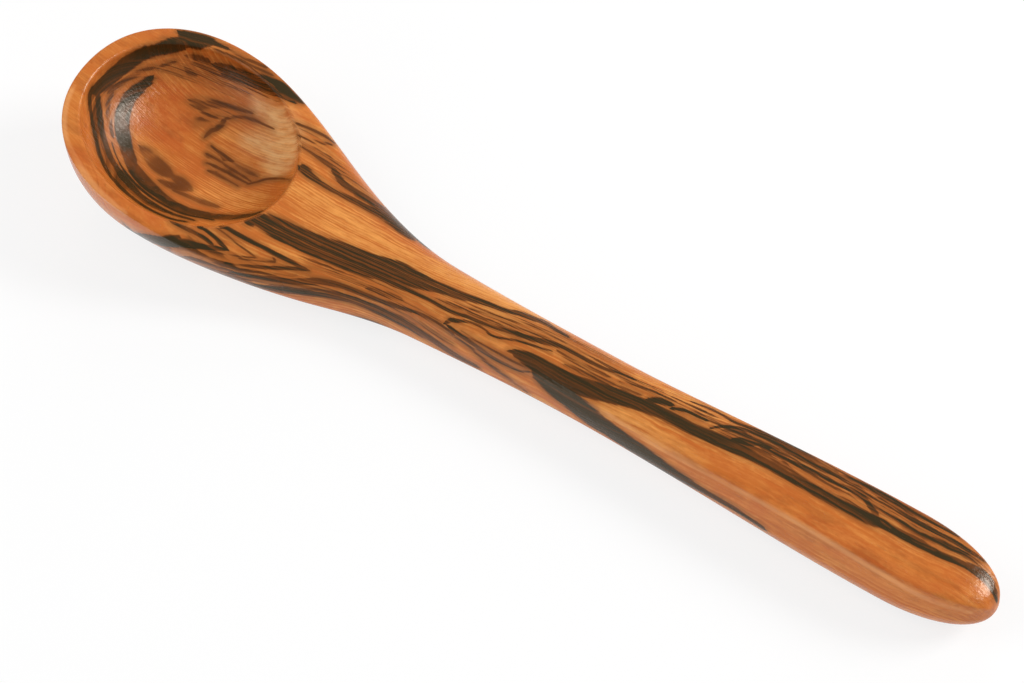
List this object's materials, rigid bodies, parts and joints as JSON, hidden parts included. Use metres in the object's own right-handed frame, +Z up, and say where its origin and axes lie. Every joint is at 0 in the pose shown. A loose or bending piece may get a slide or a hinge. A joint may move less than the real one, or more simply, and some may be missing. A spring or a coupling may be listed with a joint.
{
  "type": "egg spoon",
  "caption": "Egg spoon carved in olive wood, with an oval hollow in a tipped-up head, a waisted neck and a flared, rounded handle.",
  "frame": {"origin": "on the table, under the middle of the spoon's length and width", "axes": "+X along the length from the head to the handle end, +Y across, +Z up out of the hollow"},
  "size_m": [0.13, 0.0284, 0.0148],
  "materials": {
    "olive_wood": "oiled, satin"
  },
  "bodies": {
    "root": {"spoon": "olive_wood"}
  },
  "joints": []
}
